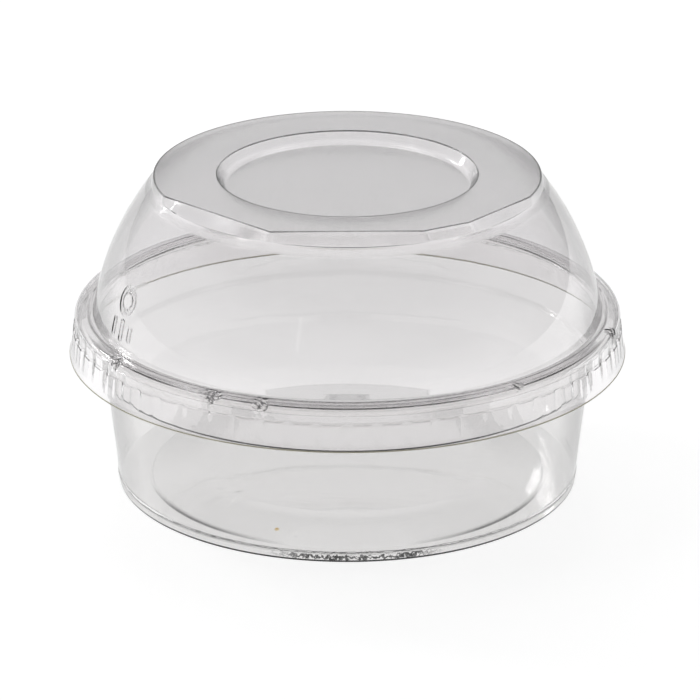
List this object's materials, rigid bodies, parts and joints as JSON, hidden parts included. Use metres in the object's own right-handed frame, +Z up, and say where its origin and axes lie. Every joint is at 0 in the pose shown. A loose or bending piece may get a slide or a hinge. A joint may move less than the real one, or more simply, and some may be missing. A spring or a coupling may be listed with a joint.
{
  "type": "plastic container with lid",
  "caption": "Clear thermoformed round pot with a tapered wall and a domed snap lid that has a flat recessed top and a padded grip skirt.",
  "frame": {"origin": "centre of the container at the level of the table, under the pot's foot", "axes": "+Z up along the axis of the pot and the lid, -Y towards the viewer of the picture, where the top's pressed edge is, +X to the viewer's right"},
  "size_m": [0.1204, 0.1204, 0.069],
  "materials": {
    "clear_pot": "clear gloss thermoformed plastic",
    "clear_lid": "clear gloss thermoformed plastic"
  },
  "bodies": {
    "pot": {"pot": "clear_pot"},
    "lid": {"dome_lid": "clear_lid"}
  },
  "joints": [
    {"name": "lid_lift", "type": "slide", "parent": "pot", "child": "lid", "axis": [0, 0, 1], "range_m": [0, 0.06]}
  ]
}
